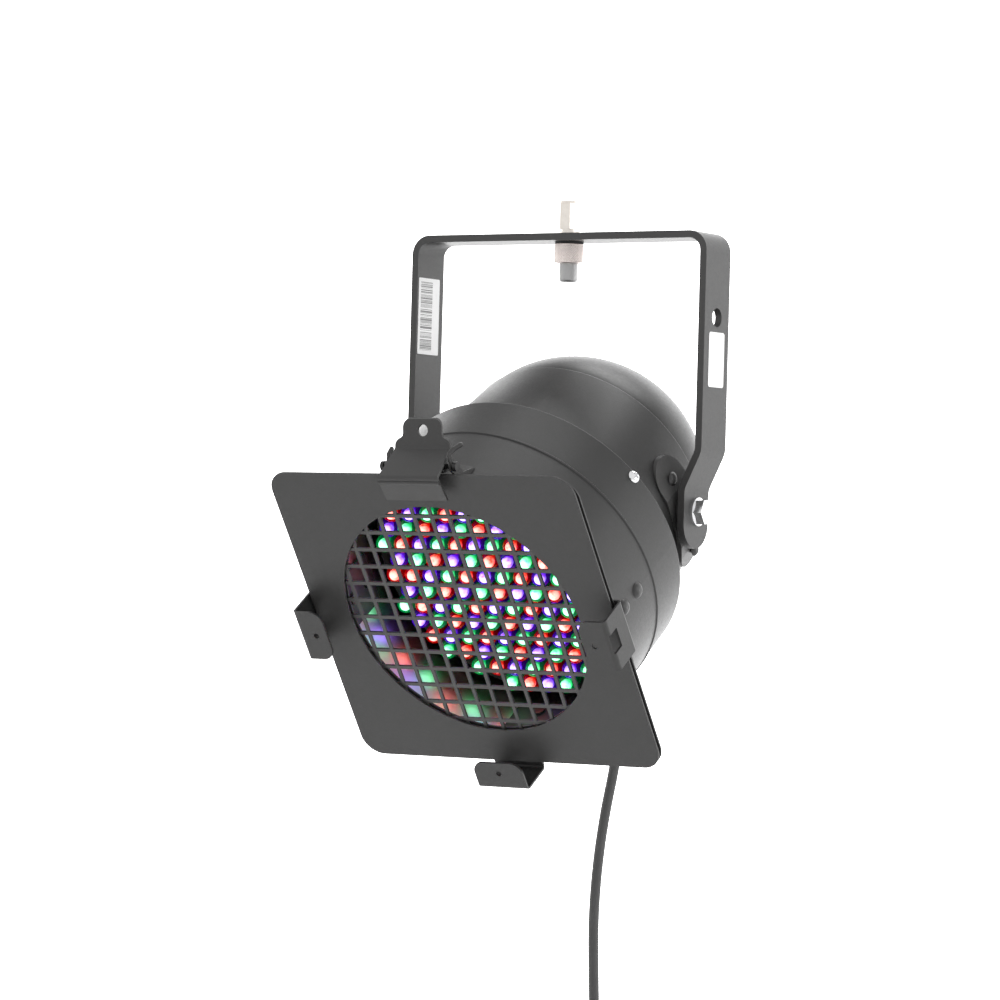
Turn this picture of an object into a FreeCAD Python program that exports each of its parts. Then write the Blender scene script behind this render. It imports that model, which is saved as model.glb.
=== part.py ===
"""LED par can on a bent yoke: a short spun can with a square filter frame, hung from a wire gripper.

Millimetres. The origin is the centre of the yoke's upper face, on the gripper's wire bore; +Z is up.
The can tilts on a pivot that lies pivot_drop below the origin, along X. Everything on the can is drawn
level, with the beam along -Y and the pivot at zero, and is then placed at the tilt it hangs at.
"""
import FreeCAD, Part
import math
import os

import Sketcher

V = FreeCAD.Vector
doc = FreeCAD.newDocument("par_can")
sheet = doc.addObject("Spreadsheet::Sheet", "Sizes")

DIMENSIONS = [
    # yoke
    ("pivot_drop", 153.0), ("rest_tilt", 35.0), ("yoke_width", 190.0), ("bar_width", 27.2),
    ("bar_thickness", 4.0), ("corner_radius", 11.0), ("pivot_width", 170.4), ("joggle_top", 33.0),
    ("joggle_low", 12.5), ("end_drop", 6.5), ("stem_hole", 5.1), ("safety_hole", 5.25),
    ("safety_rise", 106.0), ("pivot_hole", 4.03),
    # can
    ("axis_rise", 3.0), ("can_radius", 88.0), ("metal", 1.0), ("can_front", 111.0), ("can_rear", 32.0),
    ("bead_at", 62.5), ("bead_height", 0.6), ("mid_front_radius", 79.0), ("mid_rear_radius", 73.8),
    ("mid_rear", 26.5), ("dome_length", 68.5), ("panel_at", 82.5),
    ("panel_radius", 33.0),
    # filter frame
    ("frame_side", 190.0), ("frame_height", 186.8), ("frame_corner", 12.0), ("frame_rise", 6.0),
    ("frame_front", 117.0), ("frame_sheet", 1.0), ("frame_depth", 4.0), ("opening_radius", 73.0),
    ("mesh_pitch", 11.1),
    ("mesh_web", 2.0), ("mesh_sheet", 1.2),
    # frame holders
    ("holder_reach", 98.0), ("holder_width", 31.0), ("holder_front", 131.7), ("holder_lip", 81.0),
    ("holder_hole", 1.7),
    # lamps
    ("lamp_radius", 5.0), ("lamp_tip", 76.0), ("lamp_foot", 63.0), ("lamp_pitch", 11.7),
    ("board_radius", 82.0), ("board_thickness", 1.6),
    # pivots
    ("bolt_radius", 3.97), ("flange_radius", 7.8), ("hex_width", 13.0), ("hex_height", 5.3),
    ("pad_radius", 10.5), ("pad_thickness", 3.0),
    # gripper
    ("barrel_height", 18.7), ("barrel_flats", 11.2), ("lip_radius", 6.8), ("wire_radius", 1.5),
    ("stem_radius", 4.0), ("knurl_radius", 8.2), ("knurl_length", 12.3), ("tip_radius", 5.1),
    ("tip_length", 10.2),
    # cord
    ("cord_radius", 3.0),
]


class Size:
    """A number that remembers the sheet cells it is worked out from."""

    def __init__(self, value, text):
        self.value = float(value)
        self.text = text

    def _join(self, other, sign, value):
        text = other.text if isinstance(other, Size) else repr(float(other))
        return Size(value, "(%s %s %s)" % (self.text, sign, text))

    def __add__(self, other):
        return self._join(other, "+", self.value + number(other))

    def __sub__(self, other):
        return self._join(other, "-", self.value - number(other))

    def __mul__(self, other):
        return self._join(other, "*", self.value * number(other))

    def __truediv__(self, other):
        return self._join(other, "/", self.value / number(other))

    def __neg__(self):
        return Size(-self.value, "(-1 * %s)" % self.text)


def number(size):
    return size.value if isinstance(size, Size) else float(size)


class Cells:
    """The sheet's cells by name."""


S = Cells()
for row, (alias, value) in enumerate(DIMENSIONS, start=1):
    sheet.set("A%d" % row, alias)
    sheet.set("B%d" % row, repr(value))
    sheet.setAlias("B%d" % row, alias)
    setattr(S, alias, Size(value, "Sizes." + alias))
doc.recompute()

HEAD = "head"
YOKE = "yoke"
parts = []


def bind(thing, prop, size):
    """Sets a property, through an expression where the size comes from the sheet."""
    if isinstance(size, Size):
        thing.setExpression(prop, size.text)
    else:
        setattr(thing, prop, size)


def shape_object(kind, name, **sizes):
    thing = doc.addObject("Part::" + kind, name)
    for prop, size in sizes.items():
        bind(thing, prop, size)
    return thing


def turn_to(direction):
    return FreeCAD.Rotation(V(0, 0, 1), V(*direction))


def put(thing, at, rotation=None):
    """Places a helper shape. Each coordinate that is a Size stays bound to the sheet."""
    thing.Placement = FreeCAD.Placement(V(*[number(c) for c in at]), rotation or FreeCAD.Rotation())
    for axis, coordinate in zip("xyz", at):
        if isinstance(coordinate, Size):
            thing.setExpression("Placement.Base." + axis, coordinate.text)
    return thing


def rod(name, radius, length, at, direction=(0, 0, 1)):
    """A round bar that starts at a point and runs along a direction."""
    return put(shape_object("Cylinder", name, Radius=radius, Height=length), at, turn_to(direction))


def block(name, size, at, rotation=None):
    """A box from its lowest corner."""
    made = shape_object("Box", name, Length=size[0], Width=size[1], Height=size[2])
    return put(made, at, rotation)


def prism(name, flats, length, at, direction=(0, 0, 1)):
    """A hexagonal bar."""
    made = shape_object("Prism", name, Height=length)
    made.Polygon = 6
    bind(made, "Circumradius", flats / math.sqrt(3))
    return put(made, at, turn_to(direction))


def fuse(name, things):
    made = doc.addObject("Part::MultiFuse", name)
    made.Shapes = things
    return made


def cut(name, base, tools):
    made = doc.addObject("Part::Cut", name)
    made.Base = base
    made.Tool = tools[0] if len(tools) == 1 else fuse(name + "_tools", tools)
    return made


def group(name, things):
    """Identical pieces that share one node."""
    made = doc.addObject("Part::Compound", name)
    made.Links = things
    return made


def outline(name, points, at=(0, 0, 0), rotation=None):
    """A closed sketch through points whose coordinates are held to the sheet."""
    sketch = doc.addObject("Sketcher::SketchObject", name)
    count = len(points)
    corners = [V(number(x), number(y), 0) for x, y in points]
    for i in range(count):
        sketch.addGeometry(Part.LineSegment(corners[i], corners[(i + 1) % count]))
    for i in range(count):
        sketch.addConstraint(Sketcher.Constraint("Coincident", i, 2, (i + 1) % count, 1))
    for i, point in enumerate(points):
        for kind, size in zip(("DistanceX", "DistanceY"), point):
            index = sketch.addConstraint(Sketcher.Constraint(kind, -1, 1, i, 1, number(size)))
            if isinstance(size, Size):
                sketch.setExpression("Constraints[%d]" % index, size.text)
    return put(sketch, at, rotation)


def turned(name, points):
    """A solid of revolution about the can's axis, from (radius, distance behind the pivot) points."""
    sketch = outline(name + "_outline", points, (0, 0, S.axis_rise))
    made = doc.addObject("Part::Revolution", name)
    made.Source = sketch
    made.Axis = V(0, 1, 0)
    made.Base = V(0, 0, number(S.axis_rise))
    made.Angle = 360
    made.Solid = True
    return made


def raw(name, shape):
    """A piece whose shape is worked out in code from the sheet's sizes."""
    made = doc.addObject("Part::Feature", name)
    made.Shape = Part.makeCompound([shape])
    return made


def part(label, thing, frame=HEAD):
    """Names a finished piece and places it: on the tilted can, or on the upright yoke."""
    if thing.TypeId in ("Part::Cylinder", "Part::Box", "Part::Prism"):
        thing = group(thing.Name + "_placed", [thing])
    thing.Label = label
    if frame == HEAD:
        turn = FreeCAD.Rotation(V(1, 0, 0), number(S.rest_tilt))
        thing.Placement = FreeCAD.Placement(V(0, 0, -number(S.pivot_drop)), turn)
        thing.setExpression("Placement.Base.z", (-S.pivot_drop).text)
        thing.setExpression("Placement.Rotation.Angle", S.rest_tilt.text)
    parts.append(thing)
    return thing


def strip_face(points, thickness, bends):
    """The section of a bent metal strip: straight runs of its middle line joined by bends."""
    middle = [V(*p) for p in points]
    runs = []
    for a, b in zip(middle, middle[1:]):
        along = (b - a).normalize()
        runs.append((a, b, along, V(-along.y, along.x, 0) * (thickness / 2)))
    borders = []
    for side in (1, -1):
        last = runs[0][0] + runs[0][3] * side
        for (_, corner, along, off), (_, _, after, off_after), bend in zip(runs, runs[1:], bends):
            turn = math.atan2(along.cross(after).z, along.dot(after))
            reach = bend * math.tan(abs(turn) / 2)
            heart = corner - along * reach + V(-along.y, along.x, 0) * math.copysign(bend, turn)
            start = corner - along * reach + off * side
            stop = corner + after * reach + off_after * side
            outward = (corner - heart).normalize()
            borders.append(Part.LineSegment(last, start).toShape())
            borders.append(Part.Arc(start, heart + outward * (start - heart).Length, stop).toShape())
            last = stop
        borders.append(Part.LineSegment(last, runs[-1][1] + runs[-1][3] * side).toShape())
    for point, off in ((runs[0][0], runs[0][3]), (runs[-1][1], runs[-1][3])):
        borders.append(Part.LineSegment(point + off, point - off).toShape())
    return Part.Face(Part.Wire(Part.sortEdges(borders)[0]))


def strip(points, thickness, bends, width, rotation):
    """A bent strip, drawn in the XY plane with its width centred on it, then turned."""
    solid = strip_face(points, thickness, bends).extrude(V(0, 0, width))
    solid.translate(V(0, 0, -width / 2))
    solid.Placement = FreeCAD.Placement(V(), rotation).multiply(solid.Placement)
    return solid


def round_corners(solid, corner, direction):
    """Rounds the edges that run along a direction."""
    along = V(*direction)
    edges = [e for e in solid.Edges if abs(e.tangentAt(e.FirstParameter).dot(along)) > 0.99]
    return solid.makeFillet(corner, edges)


def plate_shape(width, height, corner, front, thickness, centre_up, centre_x=0.0):
    """A flat plate with round corners, standing across the beam; its front face at a distance ahead."""
    at = V(centre_x - width / 2, -front, centre_up - height / 2)
    return round_corners(Part.makeBox(width, thickness, height, at), corner, (0, 1, 0))


def spun(points, centre=V(), axis=V(0, 0, 1)):
    """A solid turned from (radius, height) points about Z; a point with three values ends an arc through
    the middle of the pair before it."""
    edges = []
    last = V(points[0][0], 0, points[0][1])
    first = last
    for point in points[1:]:
        stop = V(point[0], 0, point[1])
        if len(point) == 3:
            edges.append(Part.Arc(last, V(point[2][0], 0, point[2][1]), stop).toShape())
        else:
            edges.append(Part.LineSegment(last, stop).toShape())
        last = stop
    edges.append(Part.LineSegment(last, first).toShape())
    solid = Part.Face(Part.Wire(edges)).revolve(V(), V(0, 0, 1), 360)
    solid.Placement = FreeCAD.Placement(centre, turn_to(tuple(axis)))
    return solid


def rivet(head_radius, head_height, shank_radius, grip, tail_radius=0.0, tail_height=0.0):
    """A domed rivet: its head sits above zero and its shank hangs below."""
    bulge = (head_radius * 0.72, head_height * 0.72)
    points = [(0, head_height), (head_radius, 0, bulge), (shank_radius, 0), (shank_radius, -grip)]
    if tail_radius:
        points += [(tail_radius, -grip), (tail_radius, -grip - tail_height), (0, -grip - tail_height)]
    else:
        points += [(0, -grip)]
    return spun(points)


def studs(name, shape, places):
    """Copies of one small solid, each at a point and along a direction."""
    made = []
    for at, direction in places:
        copy = shape.copy()
        copy.Placement = FreeCAD.Placement(V(*at), turn_to(direction)).multiply(copy.Placement)
        made.append(copy)
    return raw(name, Part.makeCompound(made))


def drilled(name, base, places, radius, depth):
    """A piece with holes: each starts at a point and runs back along its direction."""
    tools = []
    for i, (at, direction) in enumerate(places):
        back = tuple(-c for c in direction)
        start = tuple(a + d * 3 for a, d in zip(at, direction))
        tools.append(rod("%s_hole_%d" % (name, i), radius, depth + 3, start, back))
    return cut(name, base, tools)


STANDING = FreeCAD.Rotation(V(1, 0, 0), 90)
SIDEWAYS = FreeCAD.Rotation(V(0, -1, 0), V(0, 0, 1), V(-1, 0, 0), "ZXY")
OUTWARD = FreeCAD.Rotation(V(0, -1, 0), V(1, 0, 0), V(0, 0, 1), "ZXY")

N = Cells()
for alias, value in DIMENSIONS:
    setattr(N, alias, value)


def radial(angle, radius, ahead):
    """A point at an angle round the can's axis, at a distance ahead of the pivot, and its direction."""
    turn = math.radians(angle)
    direction = (math.cos(turn), 0.0, math.sin(turn))
    return (direction[0] * radius, -ahead, N.axis_rise + direction[2] * radius), direction


# ---------------------------------------------------------------- yoke and what is fixed to it

def make_yoke():
    thick = N.bar_thickness
    outer = N.yoke_width / 2 - thick / 2
    inner = N.pivot_width / 2 - thick / 2
    bottom = -N.pivot_drop - N.end_drop - N.bar_width / 2
    arm = [(outer, -thick / 2), (outer, N.joggle_top - N.pivot_drop), (inner, N.joggle_low - N.pivot_drop)]
    arm.append((inner, bottom))
    path = [(-x, y) for x, y in reversed(arm)] + arm
    joggle = 12.0
    corner = N.corner_radius - thick / 2
    bends = [joggle, joggle, corner, corner, joggle, joggle]
    solid = strip(path, thick, bends, N.bar_width, STANDING)
    reach = N.yoke_width * 0.6
    centre = -N.pivot_drop - N.end_drop
    above = Part.makeBox(reach * 2, N.bar_width * 2, -centre, V(-reach, -N.bar_width, centre))
    tips = Part.makeCylinder(N.bar_width / 2, reach * 2, V(-reach, 0, centre), V(1, 0, 0))
    bar = raw("yoke_bar", solid.common(above.fuse(tips)))
    half = S.yoke_width / 2
    holes = [
        rod("stem_hole_tool", S.stem_hole, 20, (0, 0, -10)),
        rod("safety_hole_tool", S.safety_hole, 20, (half - 10, 0, S.safety_rise - S.pivot_drop), (1, 0, 0)),
        rod("pivot_hole_tool", S.pivot_hole, S.yoke_width * 1.2, (-reach, 0, -S.pivot_drop), (1, 0, 0)),
    ]
    part("yoke", cut("yoke_drilled", bar, holes), YOKE)


def make_labels():
    film = 0.15
    inside = N.yoke_width / 2 - N.bar_thickness
    left = Part.makeBox(film, 21.6, 43.2, V(-inside, -12.2, -N.pivot_drop + 86.3))
    part("serial_label", raw("serial_label_film", round_corners(left, 0.8, (1, 0, 0))), YOKE)
    right = Part.makeBox(film, 17.0, 30.0, V(N.yoke_width / 2, -8.2, -N.pivot_drop + 68.0))
    part("arm_label", raw("arm_label_film", round_corners(right, 1.6, (1, 0, 0))), YOKE)


def make_gripper():
    """Barrel and stem above and through the bar, washer and sleeve under it, and a sprung tip."""
    thick = N.bar_thickness
    foot, collar, lip = 2.9, 1.2, 1.4
    stem_end = -(thick + 4.9)
    barrel = [
        rod("barrel_foot", S.barrel_flats / 2, foot, (0, 0, 0)),
        prism("barrel_hex", S.barrel_flats, S.barrel_height - foot - collar, (0, 0, foot)),
        rod("barrel_lip", S.lip_radius, lip, (0, 0, S.barrel_height - lip)),
        rod("barrel_stem", S.stem_radius, -stem_end, (0, 0, stem_end)),
    ]
    bore = rod("wire_bore_tool", S.wire_radius, 60, (0, 0, -30))
    part("suspension_barrel", cut("barrel_bored", fuse("barrel_solid", barrel), [bore]), YOKE)
    washer = 1.0
    ring = cut("washer_ring", rod("washer_disc", S.knurl_radius * 0.98, washer, (0, 0, -thick - washer)),
               [rod("washer_hole", S.stem_radius, 10, (0, 0, -10))])
    part("lock_washer", ring, YOKE)
    top = -thick - washer
    bottom = top - N.knurl_length + washer
    bevel = 0.8
    r = N.knurl_radius
    body = raw("sleeve_solid", spun([(0, top), (r - bevel, top), (r, top - bevel), (r, bottom + bevel),
                                     (r - bevel, bottom), (0, bottom)]))
    guide = N.tip_radius + 0.06
    hollows = [
        rod("sleeve_bore", S.stem_radius, 40, (0, 0, stem_end)),
        rod("sleeve_guide", guide, stem_end - bottom + 1, (0, 0, bottom - 1)),
    ]
    part("gripper_sleeve", cut("sleeve_bored", body, hollows), YOKE)
    inside = 3.0
    low = bottom - N.tip_length
    tip = spun([(1.7, bottom + inside), (N.tip_radius, bottom + inside), (N.tip_radius, low + 1.0),
                (N.tip_radius - 1.0, low), (1.7, low)])
    part("release_tip", raw("tip_solid", tip), YOKE)
    wire = 0.35
    room = stem_end - (bottom + inside)
    turns = 3.0
    spring = coil_spring(N.tip_radius - 1.6, wire, room - 2 * wire, turns)
    spring.translate(V(0, 0, bottom + inside + wire))
    part("gripper_spring", raw("gripper_coil", spring), YOKE)


def coil_spring(radius, wire_radius, height, turns):
    """A round wire swept along a helix about Z."""
    helix = Part.makeHelix(height / turns, height, radius)
    section = Part.Wire(Part.makeCircle(wire_radius, V(radius, 0, 0), V(0, 1, 0)))
    return Part.Wire(helix).makePipeShell([section], True, True)


# ---------------------------------------------------------------- shells of the can

HOLDER_ANGLES = {"right": 0, "left": 180, "bottom": 270}
HOLDER_RIVETS_AHEAD = (80.0, 96.0)
SCREW_ANGLES = (29, 149, 269)
SCREW_AHEAD = 35.5
BASE_RIVETS = ((85.8, 99.5), (92.6, 99.5))
BRACKET_RIVET_RISE = (21.5, -24.9)
RIVET_SEAT = 76.9


def shell_screw_places(radius):
    return [radial(angle, radius, SCREW_AHEAD) for angle in SCREW_ANGLES]


def holder_rivet_places(radius):
    places = []
    for angle in HOLDER_ANGLES.values():
        places += [radial(angle, radius, ahead) for ahead in HOLDER_RIVETS_AHEAD]
    return places


def base_rivet_places(radius):
    return [radial(angle, radius, ahead) for angle, ahead in BASE_RIVETS]


def bracket_rivet_places(x):
    """On both sides, pointing out along X; the face they sit on steps in towards the strap's ends."""
    places = []
    for side in (1, -1):
        for rise in BRACKET_RIVET_RISE:
            places.append(((side * x, 0.0, rise), (float(side), 0.0, 0.0)))
    return places


def make_front_can():
    r, wall, bead = S.can_radius, S.metal, S.bead_height
    points = [
        (r - wall, -S.can_front), (r, -S.can_front), (r, -S.bead_at - 1.2), (r + bead, -S.bead_at - 0.5),
        (r + bead, -S.bead_at + 0.5), (r, -S.bead_at + 1.2),
        (r, -S.can_rear - 0.8), (r - 0.1, -S.can_rear - 0.4),
        (r - 0.3, -S.can_rear - 0.1), (r - 0.6, -S.can_rear), (r - wall, -S.can_rear),
    ]
    tube = turned("front_can_tube", points)
    drilled_1 = drilled("front_can_a", tube, holder_rivet_places(N.can_radius), 2.0, 8)
    drilled_2 = drilled("front_can_b", drilled_1, base_rivet_places(N.can_radius), 2.0, 8)
    part("front_can", drilled("front_can_c", drilled_2, shell_screw_places(N.can_radius), 1.75, 8))


def make_mid_can():
    wall = S.metal
    skirt = S.can_radius - S.metal
    overlap = 12.0
    points = [
        (skirt - wall, -S.can_rear - overlap), (skirt, -S.can_rear - overlap), (skirt, -S.can_rear),
        (S.mid_front_radius, -S.can_rear), (S.mid_rear_radius, S.mid_rear - 0.9),
        (S.mid_rear_radius - 0.1, S.mid_rear - 0.45), (S.mid_rear_radius - 0.3, S.mid_rear - 0.12),
        (S.mid_rear_radius - 0.6, S.mid_rear),
        (S.mid_rear_radius - wall, S.mid_rear), (S.mid_front_radius - wall, -S.can_rear - wall),
        (skirt - wall, -S.can_rear - wall),
    ]
    tube = turned("mid_can_tube", points)
    step_1 = drilled("mid_can_a", tube, shell_screw_places(N.can_radius), 1.75, 8)
    step_2 = drilled("mid_can_b", step_1, bracket_rivet_places(N.can_radius), 2.0, 30)
    nut_room = 8.2
    rooms = [rod("nut_room", nut_room, S.yoke_width, (-S.yoke_width / 2, 0, 0), (1, 0, 0))]
    step_3 = cut("mid_can_c", step_2, rooms)
    gland = rod("gland_hole", GLAND_THREAD, 30, gland_point(-15), gland_direction())
    part("mid_can", cut("mid_can_d", step_3, [gland]))


def dome_radius_at(behind, radius):
    """The dome is a superellipse: rounder than a cone and sharper than a ball."""
    roundness = 1.75
    share = min(max((behind - N.mid_rear) / N.dome_length, 0.0), 1.0)
    return radius * (1 - share ** roundness) ** (1 / roundness)


def make_rear_dome():
    outer = N.mid_rear_radius - N.metal - 0.1
    wall = N.metal
    skirt = 8.0
    flat = N.panel_at
    steps = 9
    span = flat - N.mid_rear
    stations = [N.mid_rear + span * (i / steps) for i in range(steps + 1)]
    curve = [V(dome_radius_at(y, outer), y, 0) for y in stations]
    inner = [V(dome_radius_at(min(y + wall * (i / steps), flat), outer) - wall, y - wall * (i / steps), 0)
             for i, y in enumerate(stations)]
    outside = Part.BSplineCurve()
    outside.interpolate(curve)
    inside = Part.BSplineCurve()
    inside.interpolate(inner)
    window = N.panel_radius - 3.5
    edges = [outside.toShape()]
    corners = [curve[-1], V(window, flat, 0), V(window, flat - wall, 0), inner[-1]]
    edges += [Part.LineSegment(a, b).toShape() for a, b in zip(corners, corners[1:])]
    edges.append(inside.toShape())
    rim = [inner[0], V(outer - wall, N.mid_rear - skirt, 0), V(outer, N.mid_rear - skirt, 0), curve[0]]
    edges += [Part.LineSegment(a, b).toShape() for a, b in zip(rim, rim[1:])]
    face = Part.Face(Part.Wire(Part.sortEdges(edges)[0]))
    solid = face.revolve(V(), V(0, 1, 0), 360)
    solid.translate(V(0, 0, N.axis_rise))
    holed = drilled("dome_drilled", raw("dome_shell", solid), panel_screw_places(), 0.9, 6)
    nut_room = rod("dome_nut_room", 9.0, 13.6, gland_point(-15), gland_direction())
    thread = rod("dome_gland_hole", GLAND_THREAD, 30, gland_point(-15), gland_direction())
    part("rear_dome", cut("dome_cut", holed, [nut_room, thread]))


def make_shell_screws():
    """Pan-head screws with a cross recess, through both shells where they overlap."""
    head, rise, shank = 3.5, 2.2, 1.7
    crown = (head * 0.72, rise * 0.86)
    body = spun([(0, rise), (head, 0.6, crown), (head, 0), (shank, 0), (shank, -5), (0, -5)])
    slot = Part.makeBox(4.0, 0.8, 3, V(-2.0, -0.4, rise - 1.3))
    cross = slot.fuse(Part.makeBox(0.8, 4.0, 3, V(-0.4, -2.0, rise - 1.3)))
    part("shell_screws", studs("shell_screw_set", body.cut(cross), shell_screw_places(N.can_radius)))


# ---------------------------------------------------------------- tilt brackets and pivots

def bracket_section(side):
    """The bracket's outline seen along the beam; the can's shell is cut out of it afterwards."""
    top, bottom = 34.0, -34.0
    shelf = 15.0
    out = N.pivot_width / 2 - N.bar_thickness - N.pad_thickness
    points = [(56.0, top), (72.4, top), (76.0, 21.5), (out, shelf), (out, -shelf), (76.0, -22.5)]
    points += [(70.9, bottom), (56.0, bottom)]
    return [(side * x, z) for x, z in points]


def make_brackets():
    half = N.bar_width / 2
    for name, side in (("left", -1), ("right", 1)):
        corners = [V(x, -half, z) for x, z in bracket_section(side)]
        solid = Part.Face(Part.makePolygon(corners + corners[:1])).extrude(V(0, half * 2, 0))
        end = 34.0 - half
        middle = Part.makeBox(120, half * 2, end * 2, V(-60, -half, -end))
        ends = [Part.makeCylinder(half, 120, V(-60, 0, z), V(1, 0, 0)) for z in (end, -end)]
        profile = middle.fuse(ends)
        profile.translate(V(side * 60, 0, 0))
        front, rear = N.mid_front_radius, N.mid_rear_radius
        slack = 0.2
        foot = V(0, -N.can_rear, N.axis_rise)
        can = Part.makeCone(front + slack, rear + slack, N.can_rear + N.mid_rear, foot, V(0, 1, 0))
        skin = 2.0
        inner = N.pivot_width / 2 - N.bar_thickness - N.pad_thickness - skin
        room = Part.makeBox(inner, half * 2, 22, V(0, -half, -11))
        if side < 0:
            room.translate(V(-inner, 0, 0))
        shape = solid.common(profile).cut(can).cut(room)
        bare = raw("bracket_%s_bent" % name, shape)
        holes = [(at, d) for at, d in bracket_rivet_places(N.can_radius) if at[0] * side > 0]
        holed = drilled("bracket_%s_holed" % name, bare, holes, 2.0, 30)
        flats = [rod("bracket_%s_flat_%d" % (name, i), 4.0, 10, (d[0] * RIVET_SEAT, 0, at[2]), d)
                 for i, (at, d) in enumerate(holes)]
        seated = cut("bracket_%s_seated" % name, holed, flats)
        reach = S.yoke_width
        pivot = rod("bracket_%s_pivot" % name, S.bolt_radius, reach, (-reach / 2, 0, 0), (1, 0, 0))
        part("tilt_bracket_" + name, cut("bracket_%s_done" % name, seated, [pivot]))
    places = [((side * RIVET_SEAT, 0.0, rise), (float(side), 0.0, 0.0))
              for side in (1, -1) for rise in BRACKET_RIVET_RISE]
    places += base_rivet_places(N.can_radius + 1.2)
    part("small_rivets", studs("small_rivet_set", rivet(3.8, 1.7, 2.0, 5.0), places))


def make_pivots():
    inner = N.pivot_width / 2 - N.bar_thickness
    outer = N.pivot_width / 2
    play = 0.1
    pad, flange, nut = N.pad_thickness, 1.8, 6.0
    washers, nuts, spacers = [], [], []
    for name, side in (("left", -1), ("right", 1)):
        out = (float(side), 0.0, 0.0)
        face = inner - pad
        disc = rod("pad_%s_disc" % name, S.pad_radius, pad - play, (side * face, 0, 0), out)
        hole = rod("pad_%s_hole" % name, S.bolt_radius, pad + 2, (side * (face - 1), 0, 0), out)
        washers.append(cut("pad_%s" % name, disc, [hole]))
        block_nut = prism("nut_%s_hex" % name, S.hex_width, nut, (side * (face - 2.0 - nut), 0, 0), out)
        bore = rod("nut_%s_bore" % name, S.bolt_radius, nut + 2, (side * (face - 3.0 - nut), 0, 0), out)
        nuts.append(cut("nut_%s" % name, block_nut, [bore]))
        seat = outer + play
        start = face - 2.0 - nut
        bolt = [
            rod("bolt_%s_shank" % name, S.bolt_radius, seat - start, (side * start, 0, 0), out),
            rod("bolt_%s_flange" % name, S.flange_radius, flange, (side * seat, 0, 0), out),
            prism("bolt_%s_hex" % name, S.hex_width, S.hex_height, (side * (seat + flange), 0, 0), out),
        ]
        part("tilt_bolt_" + name, fuse("bolt_%s_solid" % name, bolt))
    part("friction_washers", group("friction_washer_set", washers))
    part("pivot_nuts", group("pivot_nut_set", nuts))


# ---------------------------------------------------------------- filter frame and its holders

def make_holders():
    """Bent straps riveted inside the can's mouth; the filter frame slides down into their channels."""
    sheet_metal = 1.2
    leg = N.can_radius - 3.3
    seat = N.can_front + sheet_metal / 2
    wall = N.holder_reach
    front = N.holder_front
    path = [(73.5, leg), (seat, leg), (seat, wall), (front, wall), (front, N.holder_lip)]
    bends = [1.6, 2.0, 2.0]
    flap_corner = 7.0
    for name, angle in HOLDER_ANGLES.items():
        solid = strip(path, sheet_metal, bends, N.holder_width, OUTWARD)
        eye = Part.makeCylinder(N.holder_hole, 12, V(88, -front - 6, 0), V(0, 1, 0))
        window = Part.makeBox(12, 8.0, 11.5, V(wall - 6, -131.3, -5.2))
        tails = [Part.makeCylinder(2.0, 12, V(leg - 6, -ahead, 0), V(1, 0, 0))
                 for ahead in HOLDER_RIVETS_AHEAD]
        solid = solid.cut(Part.makeCompound([eye, window] + tails))
        corners = [e for e in solid.Edges if e.Length < sheet_metal * 1.2
                   and abs(e.tangentAt(e.FirstParameter).y) > 0.99 and e.CenterOfMass.x < N.holder_lip + 1]
        if corners:
            solid = solid.makeFillet(flap_corner, corners)
        solid.Placement = FreeCAD.Placement(V(0, 0, N.axis_rise), FreeCAD.Rotation(V(0, 1, 0), -angle))
        part("holder_" + name, raw("holder_%s_strap" % name, solid))
    body = rivet(4.5, 2.0, 2.0, 3.9, 3.4, 1.4)
    places = holder_rivet_places(N.can_radius)
    part("holder_rivets", studs("holder_rivet_set", body, places))


def frame_sheet_shape(front, lowered):
    """A square sheet with a round opening; its top edge can stand lower than the frame's own."""
    height, centre = N.frame_height - lowered, N.frame_rise - lowered / 2
    solid = plate_shape(N.frame_side, height, N.frame_corner, front, N.frame_sheet, centre)
    opening = Part.makeCylinder(N.opening_radius, 20, V(0, -front - 5, N.frame_rise), V(0, 1, 0))
    return solid.cut(opening)


def make_frame():
    back = N.frame_front - N.frame_depth + N.frame_sheet
    part("frame_front_sheet", raw("front_sheet", frame_sheet_shape(N.frame_front, 0.0)))
    part("frame_back_sheet", raw("back_sheet", frame_sheet_shape(back, 3.6)))
    rim = N.opening_radius + 8
    mesh = Part.makeCylinder(rim, N.mesh_sheet, V(0, -back - N.mesh_sheet, N.frame_rise), V(0, 1, 0))
    pitch, opening = N.mesh_pitch, N.mesh_pitch - N.mesh_web
    shift = -1.2
    count = 7
    squares = []
    for i in range(-count, count):
        for j in range(-count, count):
            low = N.mesh_web / 2
            corner = V(i * pitch + low, -back - 5, N.frame_rise + shift + j * pitch + low)
            squares.append(Part.makeBox(opening, 10, opening, corner))
    field = Part.makeCylinder(N.opening_radius + 3, 12, V(0, -back - 6, N.frame_rise), V(0, 1, 0))
    part("guard_grille", raw("mesh", mesh.cut(Part.makeCompound(squares).common(field))))
    spacer = Part.makeCylinder(3.0, N.frame_depth - 2 * N.frame_sheet, V(), V(0, 0, 1))
    inset = N.frame_side / 2 - 16
    places = [((x, -back, N.frame_rise + z), (0.0, -1.0, 0.0))
              for x in (-inset, inset) for z in (-inset, inset)]
    part("frame_spacers", studs("frame_spacer_set", spacer, places))


# ---------------------------------------------------------------- spring clip on top

HINGE_AHEAD = 111.6
HINGE_RISE = 101.2
CLIP_SHIFT = 1.3


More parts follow.
